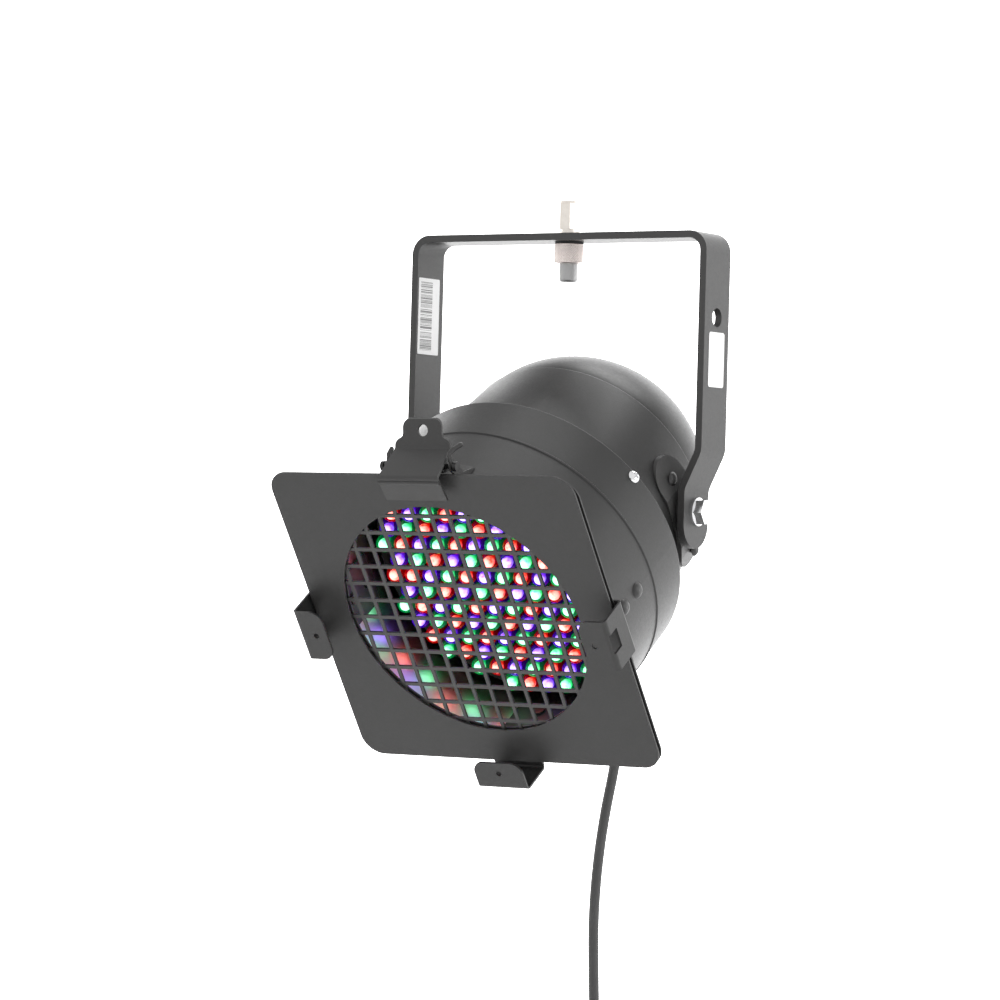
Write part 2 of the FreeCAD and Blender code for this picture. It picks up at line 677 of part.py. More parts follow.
def make_clip():
    """One bent strip over the frame's top edge, with ears that ride on the hinge pin."""
    thick = 1.2
    lip, fold, bend, top = (122.8, 87.3), (125.0, 102.4), (104.0, 107.4), (95.7, 121.8)
    width = 38.0
    solid = strip([lip, fold, bend, top], thick, [1.6, 2.2], width, SIDEWAYS)
    tab_top = 121.2
    border = [(19.0, 80), (19.0, 101), (17.2, 107.5), (17.2, 111.0), (12.1, 113.0), (12.1, tab_top)]
    roundings = {111.0: 3.0, 113.0: 3.0, tab_top: 4.0}
    corners = [V(x, -140, z) for x, z in border] + [V(-x, -140, z) for x, z in reversed(border)]
    front_view = Part.Face(Part.makePolygon(corners + corners[:1])).extrude(V(0, 80, 0))
    for rise, corner in roundings.items():
        edges = [e for e in front_view.Edges if abs(e.tangentAt(e.FirstParameter).y) > 0.99
                 and abs(e.CenterOfMass.z - rise) < 0.01]
        front_view = front_view.makeFillet(corner, edges)
    solid = solid.common(front_view)
    lean = math.atan2(bend[0] - top[0], top[1] - bend[1])
    face_normal = V(0, -math.cos(lean), math.sin(lean))
    eye_rise = 115.7
    eye_at = V(0.5, -(bend[0] - (eye_rise - bend[1]) * math.tan(lean)), eye_rise)
    solid = solid.cut(Part.makeCylinder(3.1, 12, eye_at - face_normal * 6, face_normal))
    rib = Part.makeCylinder(1.0, width, V(-width / 2, -fold[0] - 0.2, 99.6), V(1, 0, 0))
    ears = [rib]
    for side in (-1, 1):
        x = side * 15.0 - thick / 2
        ear = [(107.0, 106.7), (116.4, 104.4), (114.0, 98.6), (109.6, 98.6), (108.2, 101.2)]
        points = [V(x, -ahead, rise) for ahead, rise in ear]
        ears.append(Part.Face(Part.makePolygon(points + points[:1])).extrude(V(thick, 0, 0)))
    solid = solid.multiFuse(ears)
    pin_hole = Part.makeCylinder(1.56, 60, V(-30, -HINGE_AHEAD, HINGE_RISE), V(1, 0, 0))
    solid = solid.cut(pin_hole).removeSplitter()
    solid.translate(V(CLIP_SHIFT, 0, 0))
    part("spring_clip", raw("clip_bent", solid))


def wire_run(points, radius):
    """A round wire along straight runs, with round elbows."""
    pieces = [Part.makeSphere(radius, V(*point)) for point in points]
    for a, b in zip(points, points[1:]):
        run = V(*b) - V(*a)
        pieces.append(Part.makeCylinder(radius, run.Length, V(*a), run))
    return pieces[0].multiFuse(pieces[1:]).removeSplitter()


def make_clip_base():
    """A saddle on the can with two ears that hold the hinge pin, and a bent wire hook on each ear."""
    half, thick = 20.6, 1.2
    r = N.can_radius
    saddle = Part.makeCylinder(r + thick, 17, V(0, -111, N.axis_rise), V(0, 1, 0))
    keep = Part.makeBox(half * 2, 17, 60, V(CLIP_SHIFT - half, -111, 60))
    ears = []
    for x in (-half, half - thick):
        points = [V(x, -ahead, rise) for ahead, rise in
                  [(96.0, 84.0), (111.0, 84.0), (112.6, 97.5), (114.4, 100.6), (113.4, 103.8), (109.6, 103.8),
                   (105.6, 98.0), (104.0, 93.0), (96.0, 90.0)]]
        ears.append(Part.Face(Part.makePolygon(points + points[:1])).extrude(V(thick, 0, 0)))
    pin = (-HINGE_AHEAD, HINGE_RISE)
    hook_wire = 1.3
    right = [(21.3, *pin), (21.3, -110.4, 108.2), (22.6, -107.6, 109.2), (25.4, -103.6, 109.8)]
    left = [(-18.6, *pin), (-19.2, -108.2, 103.6), (-19.9, -106.1, 105.0), (-19.4, -103.0, 106.3)]
    hooks = [wire_run(right, hook_wire), wire_run(left, hook_wire)]
    sides = Part.makeCompound(ears)
    sides.translate(V(CLIP_SHIFT, 0, 0))
    solid = saddle.common(keep).multiFuse(sides.Solids + hooks)
    solid = solid.cut(Part.makeCylinder(1.5, 80, V(-40, -HINGE_AHEAD, HINGE_RISE), V(1, 0, 0)))
    solid = solid.cut(Part.makeCylinder(r, 60, V(0, -140, N.axis_rise), V(0, 1, 0)))
    for at, direction in base_rivet_places(r):
        solid = solid.cut(Part.makeCylinder(2.0, 12, V(*at) - V(*direction) * 4, V(*direction)))
    part("clip_base", raw("clip_saddle", solid))
    end, cap, head = 22.5, 2.0, 2.6
    pieces = [Part.makeCylinder(1.5, end * 2, V(-end, 0, 0), V(1, 0, 0))]
    for side in (-1, 1):
        pieces.append(Part.makeCylinder(head, cap, V(side * 21.6, 0, 0), V(side, 0, 0)))
    pin = pieces[0].multiFuse(pieces[1:]).removeSplitter()
    pin.translate(V(CLIP_SHIFT, -HINGE_AHEAD, HINGE_RISE))
    part("clip_pin", raw("clip_pin_solid", pin))


def make_clip_spring():
    """A torsion spring round the pin between the clip's ears."""
    wire, turns, width = 0.5, 5, 7.0
    radius = 2.35
    coil = coil_spring(radius, wire, width, turns)
    along = V(CLIP_SHIFT - width / 2, -HINGE_AHEAD, HINGE_RISE)
    coil.Placement = FreeCAD.Placement(along, turn_to((1, 0, 0)))
    part("clip_spring", raw("clip_coil", coil))


# ---------------------------------------------------------------- lamps and what drives them

LAMP_COLOURS = ("red", "blue", "green")


def lamp_places():
    """Ten rows of lamps packed as hexagons, their colours stepping along each row."""
    row_gap = N.lamp_pitch * math.sqrt(3) / 2
    counts = {0: 13, 1: 12, 2: 13, 3: 12, 4: 11, 5: 10, 6: 7, 7: 4}
    places = {colour: [] for colour in LAMP_COLOURS}
    for row in range(-7, 8):
        count = counts[abs(row)]
        for i in range(count):
            step = i - (count - 1) / 2
            turn = int(step + (5 if row % 2 == 0 else 6.5)) % 3
            if row == 0 and i == 0:
                turn = 0
            at = (step * N.lamp_pitch, -N.lamp_foot, N.axis_rise + row * row_gap)
            places[LAMP_COLOURS[turn]].append((at, (0.0, -1.0, 0.0)))
    return places


def make_lamps():
    r, flange = N.lamp_radius, 0.45
    tall = N.lamp_tip - N.lamp_foot
    root = math.sqrt(0.5)
    bulb = spun([(0, tall), (r, tall - r, (r * root, tall - r + r * root)), (r, 1.4), (r + flange, 1.4),
                 (r + flange, 0), (0, 0)])
    for colour, places in lamp_places().items():
        part("leds_" + colour, studs("lamp_set_" + colour, bulb, places))
    back = S.lamp_foot - S.board_thickness
    board = rod("board_disc", S.board_radius, S.board_thickness, (0, -back, S.axis_rise), (0, -1, 0))
    part("led_board", board)


def corner_posts(name, half_x, half_z, radius, start, length):
    posts = []
    for i, (x, z) in enumerate([(-half_x, -half_z), (half_x, -half_z), (-half_x, half_z), (half_x, half_z)]):
        posts.append(rod("%s_%d" % (name, i), radius, length, (x, -start, S.axis_rise + z), (0, -1, 0)))
    return posts


def make_chassis():
    """A plate on the shoulder of the middle shell carries the lamp board ahead and the supply behind."""
    front, plate = 33.0, 1.5
    board = 1.6
    pillar = 7.0
    reach = N.lamp_foot - N.board_thickness - front - plate
    disc = rod("chassis_disc", 82.6, plate, (0, -front, S.axis_rise), (0, -1, 0))
    centre_hole = rod("chassis_hole", 9.0, 20, (0, -front + 10, S.axis_rise), (0, -1, 0))
    part("chassis_plate", cut("chassis_cut", disc, [centre_hole]))
    posts = corner_posts("lamp_pillar", 52, 52, 3.0, front + plate, reach)
    posts += corner_posts("supply_pillar", 44, 32, 3.0, front - pillar, pillar)
    for i, angle in enumerate((90, 200, 340)):
        turn = math.radians(angle)
        reach = 26.2
        at = (reach * math.cos(turn), N.panel_at - CONTROL_GAP, N.axis_rise + reach * math.sin(turn))
        posts.append(rod("control_pillar_%d" % i, 2.0, CONTROL_GAP, at, (0, 1, 0)))
    part("board_pillars", group("board_pillar_set", posts))
    rear = front - pillar
    part("supply_board", block("supply_board_slab", (100, board, 76), (-50, -rear, S.axis_rise - 38)))
    part("transformer", block("transformer_block", (42, 28, 36), (-44, -rear + board, S.axis_rise - 14)))
    cans = [rod("capacitor_%d" % i, 8, 24, (x, -rear + board, S.axis_rise + z), (0, 1, 0))
            for i, (x, z) in enumerate([(14, 20), (34, 20), (34, 0)])]
    part("capacitors", group("capacitor_set", cans))


# ---------------------------------------------------------------- rear panel

BUTTON_SPOTS = [(-13.5 + 9.0 * i, 5.5) for i in range(4)]
SOCKET_SPOTS = {"in": (-12.5, -12.5), "out": (12.5, -12.5)}
PANEL_SHEET = 1.5
CONTROL_GAP = 8.0


def panel_screw_places():
    places = []
    for angle in (35, 145, 270):
        turn = math.radians(angle)
        reach = N.panel_radius - 2.1
        at = (reach * math.cos(turn), N.panel_at + PANEL_SHEET, N.axis_rise + reach * math.sin(turn))
        places.append((at, (0.0, 1.0, 0.0)))
    return places


def make_panel():
    face = N.panel_at
    rise = S.axis_rise
    disc = rod("panel_disc", S.panel_radius, PANEL_SHEET, (0, face, rise), (0, 1, 0))
    tools = [block("display_tool", (22, 10, 10), (-11, face - 5, rise + 12))]
    for i, (x, z) in enumerate(BUTTON_SPOTS):
        tools.append(rod("button_tool_%d" % i, 2.9, 20, (x, face - 10, rise + z), (0, 1, 0)))
    for name, (x, z) in SOCKET_SPOTS.items():
        tools.append(rod("socket_tool_" + name, 9.1, 20, (x, face - 10, rise + z), (0, 1, 0)))
    cut_disc = cut("panel_cut", disc, tools)
    part("control_panel", drilled("panel_done", cut_disc, panel_screw_places(), 0.9, 6))
    part("panel_screws", studs("panel_screw_set", rivet(1.8, 1.1, 0.85, 4.5), panel_screw_places()))
    part("display_window", block("display_block", (22, 2.4, 10), (-11, face - 0.6, rise + 12)))
    board_at = face - CONTROL_GAP
    board = rod("control_board_disc", 29.0, 1.6, (0, board_at - 1.6, rise), (0, 1, 0))
    switches = [block("switch_%d" % i, (6, 3.4, 6), (x - 3, board_at, rise + z - 3))
                for i, (x, z) in enumerate(BUTTON_SPOTS)]
    part("control_board", fuse("control_board_assembled", [board] + switches))
    for i, (x, z) in enumerate(BUTTON_SPOTS):
        cap = spun([(0, 3.6), (1.9, 3.6), (2.5, 3.0), (2.5, -1.7), (3.5, -1.7), (3.5, -2.9), (1.2, -2.9),
                    (1.2, -3.4), (0, -3.4)],
                   V(x, face, N.axis_rise + z), V(0, 1, 0))
        part("panel_button_%d" % (i + 1), raw("button_cap_%d" % (i + 1), cap))


def make_sockets():
    """Two three-pole signal sockets, one with pins and one with sleeves."""
    face = N.panel_at + PANEL_SHEET
    board = N.panel_at - CONTROL_GAP
    inner, outer, flange = 7.4, 9.0, 10.8
    for name, (x, z) in SOCKET_SPOTS.items():
        at = V(x, 0, N.axis_rise + z)
        floor = board + 2.0
        shell = spun([(0, board), (outer, board), (outer, face), (flange, face), (flange, face + 1.6),
                      (inner, face + 1.6), (inner, floor), (0, floor)], at, V(0, 1, 0))
        part("signal_%s_shell" % name, raw("signal_%s_solid" % name, shell))
        spots = [(3.6 * math.cos(math.radians(a)), 3.6 * math.sin(math.radians(a))) for a in (210, 330, 90)]
        if name == "in":
            pin = spun([(0, 7.0), (0.7, 7.0), (1.2, 6.3), (1.2, 0), (0, 0)])
            places = [((x + px, floor, N.axis_rise + z + pz), (0.0, 1.0, 0.0)) for px, pz in spots]
            part("signal_in_pins", studs("signal_pin_set", pin, places))
        else:
            core = Part.makeCylinder(6.0, face - floor - 0.5, V(x, floor, N.axis_rise + z), V(0, 1, 0))
            for px, pz in spots:
                hole = Part.makeCylinder(1.3, 12, V(x + px, floor + 1.5, N.axis_rise + z + pz), V(0, 1, 0))
                core = core.cut(hole)
            part("signal_out_insert", raw("signal_insert", core))


# ---------------------------------------------------------------- mains cord, drawn where it hangs

GLAND_THREAD = 6.0
CORD_ROUTE = [
    (-7.0, 53.3, -203.0), (-13.4, 103.9, -260.0), (-29.1, 94.1, -358.2), (-27.3, 97.0, -450.0),
]


def tilted(point):
    """A point hanging under the tilted can, seen from the can drawn level."""
    turn = FreeCAD.Rotation(V(1, 0, 0), -N.rest_tilt)
    return turn.multVec(V(*point) - V(0, 0, -N.pivot_drop))


def gland_direction():
    run = (tilted(CORD_ROUTE[1]) - tilted(CORD_ROUTE[0])).normalize()
    return (run.x, run.y, run.z)


def gland_point(ahead):
    at = tilted(CORD_ROUTE[0]) + V(*gland_direction()) * ahead
    return (at.x, at.y, at.z)


def cord_path(points):
    """Straight runs joined by the widest arcs that 0.45 of each shorter run allows."""
    share = 0.45
    corners = [V(*p) for p in points]
    edges = []
    last = corners[0]
    for before, corner, after in zip(corners, corners[1:], corners[2:]):
        incoming, outgoing = corner - before, after - corner
        reach = share * min(incoming.Length, outgoing.Length)
        incoming.normalize()
        outgoing.normalize()
        turn = incoming.getAngle(outgoing)
        radius = reach / math.tan(turn / 2)
        start, stop = corner - incoming * reach, corner + outgoing * reach
        bisector = (outgoing - incoming).normalize()
        heart = corner + bisector * (radius / math.cos(turn / 2))
        edges.append(Part.LineSegment(last, start).toShape())
        edges.append(Part.Arc(start, heart - bisector * radius, stop).toShape())
        print("cord arc radius %.1f mm" % radius)
        last = stop
    edges.append(Part.LineSegment(last, corners[-1]).toShape())
    return Part.Wire(edges)


def make_cord():
    r = N.cord_radius
    path = cord_path(CORD_ROUTE)
    first = (V(*CORD_ROUTE[1]) - V(*CORD_ROUTE[0])).normalize()
    section = Part.Wire(Part.makeCircle(r, V(*CORD_ROUTE[0]), first))
    tube = path.makePipeShell([section], True, False)
    print("cord tube %.0f mm3, section times length %.0f mm3" % (tube.Volume, math.pi * r * r * path.Length))
    part("mains_cord", raw("cord_tube", tube), YOKE)
    start, direction = V(*CORD_ROUTE[0]), first
    thread, hexagon, nut = GLAND_THREAD, 8.4, 7.4
    gland = spun([(r, -6.0), (thread - 0.1, -6.0), (thread - 0.1, 0.2), (hexagon, 0.2), (hexagon, 4.2),
                  (nut, 4.2), (nut, 10.0), (nut - 2.0, 12.0), (r, 12.0)], start, direction)
    part("cable_gland", raw("gland_solid", gland), YOKE)
    lock = spun([(thread - 0.1, -5.0), (8.6, -5.0), (8.6, -1.9), (thread - 0.1, -1.9)], start, direction)
    part("gland_nut", raw("gland_nut_solid", lock), YOKE)
    boot = spun([(r, 12.0), (5.4, 12.0), (5.4, 15.0), (3.9, 40.0), (r, 40.0)], start, direction)
    part("strain_relief", raw("boot_solid", boot), YOKE)
    end = V(*CORD_ROUTE[-1])
    wide, deep, tall = 46.0, 24.0, 118.0
    bundle = Part.makeBox(wide, deep, tall, end - V(wide / 2, deep / 2, tall))
    bundle = bundle.makeFillet(9.0, bundle.Edges)
    part("mains_cord_hank", raw("hank_solid", bundle), YOKE)
    band, film = 12.0, 1.2
    ring = Part.makeBox(wide + 2 * film, deep + 2 * film, band, end - V(wide / 2 + film, deep / 2 + film, 65))
    ring = round_corners(ring, 9.0 + film, (0, 0, 1))
    hollow = round_corners(Part.makeBox(wide, deep, tall, end - V(wide / 2, deep / 2, tall)), 9.0, (0, 0, 1))
    part("hank_tie", raw("tie_band", ring.cut(hollow)), YOKE)
    top = end - V(0, 0, tall)
    plug = spun([(0, 0), (5.5, 0), (6.5, -12), (17.0, -24), (19.0, -27), (19.0, -50), (0, -50)], top)
    part("plug_body", raw("plug_solid", plug), YOKE)
    pin = spun([(0, 0), (2.4, 0), (2.4, -17.5), (1.2, -19), (0, -19)])
    places = [((top.x + x, top.y, top.z - 50), (0.0, 0.0, 1.0)) for x in (-9.5, 9.5)]
    part("plug_pins", studs("plug_pin_set", pin, places), YOKE)


# ---------------------------------------------------------------- build, check and write

for make in (make_yoke, make_labels, make_gripper, make_front_can, make_mid_can, make_rear_dome,
             make_shell_screws, make_brackets, make_pivots, make_holders, make_frame, make_clip,
             make_clip_base, make_clip_spring, make_lamps, make_chassis, make_panel, make_sockets, make_cord):
    make()

doc.recompute()
troubles = []
for thing in doc.Objects:
    if "Invalid" in thing.State or "Error" in thing.State:
        troubles.append("%s %s" % (thing.Name, thing.State))
os.makedirs("parts", exist_ok=True)
for thing in parts:
    shape = thing.Shape
    if shape.isNull() or not shape.isValid():
        troubles.append("%s has no valid shape" % thing.Label)
if troubles:
    raise SystemExit("\n".join(troubles))
for thing in parts:
    thing.Shape.exportStep("parts/%s.step" % thing.Label)
print("%d parts" % len(parts))
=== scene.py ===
"""LED par can on a yoke, as photographed: hung, tilted down, its lamps lit, in front of a white studio."""
import math

import bmesh
import bpy
from mathutils import Matrix, Quaternion, Vector


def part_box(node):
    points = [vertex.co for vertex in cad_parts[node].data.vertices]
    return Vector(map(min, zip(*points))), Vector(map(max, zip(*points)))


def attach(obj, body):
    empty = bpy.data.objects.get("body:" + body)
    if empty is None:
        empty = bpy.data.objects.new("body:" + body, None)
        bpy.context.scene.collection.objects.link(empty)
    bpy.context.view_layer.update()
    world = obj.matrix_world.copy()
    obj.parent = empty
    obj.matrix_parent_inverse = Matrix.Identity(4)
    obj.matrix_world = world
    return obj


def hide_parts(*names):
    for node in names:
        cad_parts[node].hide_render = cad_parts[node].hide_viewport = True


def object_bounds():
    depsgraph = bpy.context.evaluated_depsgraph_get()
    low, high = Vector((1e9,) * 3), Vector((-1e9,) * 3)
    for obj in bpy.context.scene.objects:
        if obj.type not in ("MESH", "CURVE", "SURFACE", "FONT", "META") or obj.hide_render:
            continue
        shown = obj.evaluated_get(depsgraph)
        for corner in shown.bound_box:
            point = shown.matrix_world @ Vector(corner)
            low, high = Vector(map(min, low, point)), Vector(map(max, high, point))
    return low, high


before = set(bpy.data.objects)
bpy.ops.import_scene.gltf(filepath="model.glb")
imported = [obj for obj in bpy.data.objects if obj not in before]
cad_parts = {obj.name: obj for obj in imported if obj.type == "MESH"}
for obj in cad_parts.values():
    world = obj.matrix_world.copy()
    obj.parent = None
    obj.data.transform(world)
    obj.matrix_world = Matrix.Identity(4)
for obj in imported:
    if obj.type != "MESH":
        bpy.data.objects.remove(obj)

cad_low, cad_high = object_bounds()
MM = 0.001

# The head hangs nose down from the yoke's two pivot bolts; the can's axis passes a little above them.
PIVOT = Vector((0.0, 0.0, -0.153))
TILT = math.radians(35.0)
AXIS_RISE = 3 * MM
HEAD = Matrix.Translation(PIVOT) @ Matrix.Rotation(TILT, 4, "X")

CAMERA_AT = (1.23609, -2.06696, -0.18700)
LOOKING = Vector((-0.52550, 0.85065, 0.01588))
CAMERA_ROLL = math.radians(1.56)
SENSOR_WIDTH = 36.0
LENS = 155.85


# ---------------------------------------------------------------- camera

def add_camera():
    """A long lens, well to the right of straight ahead and about level with the pivots."""
    data = bpy.data.cameras.new("camera")
    data.sensor_width = SENSOR_WIDTH
    data.lens = LENS
    data.clip_start = 0.1
    data.clip_end = 50
    camera = bpy.data.objects.new("camera", data)
    camera.rotation_mode = "QUATERNION"
    camera.rotation_quaternion = LOOKING.to_track_quat("-Z", "Y") @ Quaternion((0, 0, 1), CAMERA_ROLL)
    camera.location = CAMERA_AT
    bpy.context.collection.objects.link(camera)
    bpy.context.scene.camera = camera


# ---------------------------------------------------------------- shader helpers

def new_material(name):
    material = bpy.data.materials.new(name)
    material.use_nodes = True
    tree = material.node_tree
    return material, tree, tree.nodes["Principled BSDF"]


def add(tree, kind, **settings):
    """A new shader node, named without its common prefix."""
    node = tree.nodes.new("ShaderNode" + kind)
    for key, value in settings.items():
        setattr(node, key, value)
    return node


def math_node(tree, operation, a, b=0.0):
    """One sum: a and b are numbers or sockets."""
    node = add(tree, "Math", operation=operation)
    for socket, value in zip(node.inputs, (a, b)):
        if isinstance(value, (int, float)):
            socket.default_value = value
        else:
            tree.links.new(value, socket)
    return node.outputs[0]


def ramp(tree, source, stops):
    """A colour ramp: stops are (place, colour)."""
    node = add(tree, "ValToRGB")
    tree.links.new(source, node.inputs[0])
    elements = node.color_ramp.elements
    while len(elements) < len(stops):
        elements.new(0.5)
    for element, (place, colour) in zip(elements, stops):
        element.position = place
        element.color = (*colour, 1.0)
    return node.outputs[0]


def grey(value):
    return (value, value, value)


def noise(tree, scale, detail=3.0, rough=0.55, vector=None):
    node = add(tree, "TexNoise")
    node.inputs["Scale"].default_value = scale
    node.inputs["Detail"].default_value = detail
    node.inputs["Roughness"].default_value = rough
    if vector is None:
        vector = add(tree, "TexCoord").outputs["Object"]
    tree.links.new(vector, node.inputs["Vector"])
    return node.outputs[0]


def bump(tree, shader, height, strength, distance):
    node = add(tree, "Bump")
    node.inputs["Strength"].default_value = strength
    node.inputs["Distance"].default_value = distance
    tree.links.new(height, node.inputs["Height"])
    tree.links.new(node.outputs[0], shader.inputs["Normal"])


COAT_TINT = (1.0, 0.99, 0.98)
GRAIN_DEPTH = 0.12 * MM


def powder_coat(name, darkness, rough):
    """Baked paint: a fine sandy grain, a very faint drift in tone and sheen, and tiny lighter specks."""
    material, tree, shader = new_material(name)
    base = [darkness * t for t in COAT_TINT]
    drift = noise(tree, 9.0, 2.0)
    tone = ramp(tree, drift, [(0.3, [c * 0.94 for c in base]), (0.7, [c * 1.06 for c in base])])
    speck = ramp(tree, noise(tree, 3200.0, 2.0, 0.6), [(0.62, grey(0.0)), (0.80, grey(0.35))])
    mix = add(tree, "Mix", data_type="RGBA")
    tree.links.new(speck, mix.inputs["Factor"])
    tree.links.new(tone, mix.inputs["A"])
    mix.inputs["B"].default_value = (*[min(1.0, c * 1.9 + 0.01) for c in base], 1)
    tree.links.new(mix.outputs["Result"], shader.inputs["Base Color"])
    sheen = ramp(tree, noise(tree, 700.0, 3.0), [(0.3, grey(rough - 0.04)), (0.75, grey(rough + 0.05))])
    tree.links.new(sheen, shader.inputs["Roughness"])
    bump(tree, shader, noise(tree, 1500.0, 3.0, 0.6), 0.3, GRAIN_DEPTH)
    return material


def metal(name, colour, rough):
    """Bare metal with fine scratches."""
    material, tree, shader = new_material(name)
    shader.inputs["Metallic"].default_value = 1.0
    cloud = noise(tree, 260.0, 4.0)
    darker = [c * 0.9 for c in colour]
    tree.links.new(ramp(tree, cloud, [(0.3, darker), (0.7, colour)]), shader.inputs["Base Color"])
    spread = ramp(tree, noise(tree, 900.0, 3.0), [(0.3, grey(rough)), (0.8, grey(rough + 0.12))])
    tree.links.new(spread, shader.inputs["Roughness"])
    bump(tree, shader, noise(tree, 2200.0, 2.0), 0.12, 0.05 * MM)
    return material


def plastic(name, colour, rough, grain=1200.0):
    """Moulded plastic, rubber or paper with a fine grain."""
    material, tree, shader = new_material(name)
    cloud = noise(tree, 60.0, 3.0)
    lighter = [min(1.0, c * 1.3 + 0.003) for c in colour]
    tree.links.new(ramp(tree, cloud, [(0.3, colour), (0.8, lighter)]), shader.inputs["Base Color"])
    sheen = ramp(tree, cloud, [(0.2, grey(rough)), (0.9, grey(rough + 0.1))])
    tree.links.new(sheen, shader.inputs["Roughness"])
    bump(tree, shader, noise(tree, grain, 2.0), 0.4, 0.06 * MM)
    return material


def dress(material, *nodes):
    """Gives the CAD pieces of these names one material."""
    for name in nodes:
        thing = bpy.data.objects[name]
        thing.data.materials.clear()
        thing.data.materials.append(material)


# ---------------------------------------------------------------- light and surroundings

LIT_CENTRE = Vector((0.0, 0.0, -0.2))
SWEEP_REACH = 3.4
SWEEP_LOW, SWEEP_HIGH = -2.2, 2.2
SWEEP_SPREAD = math.radians(84)
SWEEP_COLUMNS = 48
SWEEP_STRENGTH = 2.2
WORLD_STRENGTH = 0.8
FLOOR_RADIUS = 1.25
FLOOR_GAP = 0.02


def add_area(name, at, size, power):
    """A soft white lamp that points at the middle of the object."""
    data = bpy.data.lights.new(name, "AREA")
    data.shape = "RECTANGLE"
    data.size, data.size_y = size
    data.energy = power
    lamp = bpy.data.objects.new(name, data)
    lamp.location = at
    lamp.rotation_mode = "QUATERNION"
    lamp.rotation_quaternion = (LIT_CENTRE - Vector(at)).to_track_quat("-Z", "Y")
    bpy.context.collection.objects.link(lamp)


def add_stage_mesh(name, shape, material):
    """A piece of the studio, not part of the object."""
    mesh = bpy.data.meshes.new(name)
    shape.to_mesh(mesh)
    shape.free()
    mesh.materials.append(material)
    thing = bpy.data.objects.new(name, mesh)
    bpy.context.collection.objects.link(thing)


def add_sweep():
    """A lit white paper wall that curves round behind the object, brightest straight behind it."""
    middle = math.atan2(LOOKING.y, LOOKING.x)
    shape = bmesh.new()
    layer = shape.verts.layers.float.new("light")
    rows = []
    for height in (SWEEP_LOW, SWEEP_HIGH):
        row = []
        for i in range(SWEEP_COLUMNS + 1):
            share = 2 * i / SWEEP_COLUMNS - 1
            angle = middle + SWEEP_SPREAD * share
            vertex = shape.verts.new((LIT_CENTRE.x + SWEEP_REACH * math.cos(angle),
                                      LIT_CENTRE.y + SWEEP_REACH * math.sin(angle), height))
            vertex[layer] = max(0.0, 1.0 - abs(share))
            row.append(vertex)
        rows.append(row)
    for i in range(SWEEP_COLUMNS):
        shape.faces.new((rows[0][i], rows[0][i + 1], rows[1][i + 1], rows[1][i]))
    lit, tree, shader = new_material("lit_paper")
    shader.inputs["Base Color"].default_value = (0.9, 0.9, 0.9, 1)
    shader.inputs["Emission Color"].default_value = (1, 1, 1, 1)
    light = add(tree, "Attribute", attribute_name="light").outputs["Fac"]
    glow = ramp(tree, light, [(0.0, grey(0.22)), (0.5, grey(0.48)), (0.78, grey(1.0))])
    tree.links.new(math_node(tree, "MULTIPLY", glow, SWEEP_STRENGTH), shader.inputs["Emission Strength"])
    add_stage_mesh("sweep", shape, lit)


def add_studio():
    """A white world, two soft lamps, a paper floor and the sweep, shown with a plain tone curve."""
    world = bpy.data.worlds.new("studio")
    world.use_nodes = True
    sky = world.node_tree.nodes["Background"]
    sky.inputs["Color"].default_value = (1, 1, 1, 1)
    sky.inputs["Strength"].default_value = WORLD_STRENGTH
    bpy.context.scene.world = world
    bpy.context.scene.view_settings.view_transform = "Standard"
    add_area("key", at=(2.4, 0.4, 0.35), size=(1.6, 1.6), power=15)
    add_area("top", at=(0.0, 1.2, 2.0), size=(1.6, 1.0), power=24)
    floor = bmesh.new()
    bmesh.ops.create_circle(floor, cap_ends=True, segments=96, radius=FLOOR_RADIUS,
                            matrix=Matrix.Translation((0, 0, cad_low[2] - FLOOR_GAP)))
    add_stage_mesh("floor", floor, plastic("floor_paper", (0.86, 0.86, 0.86), 0.7, 300.0))
    add_sweep()


# ---------------------------------------------------------------- materials on the CAD pieces

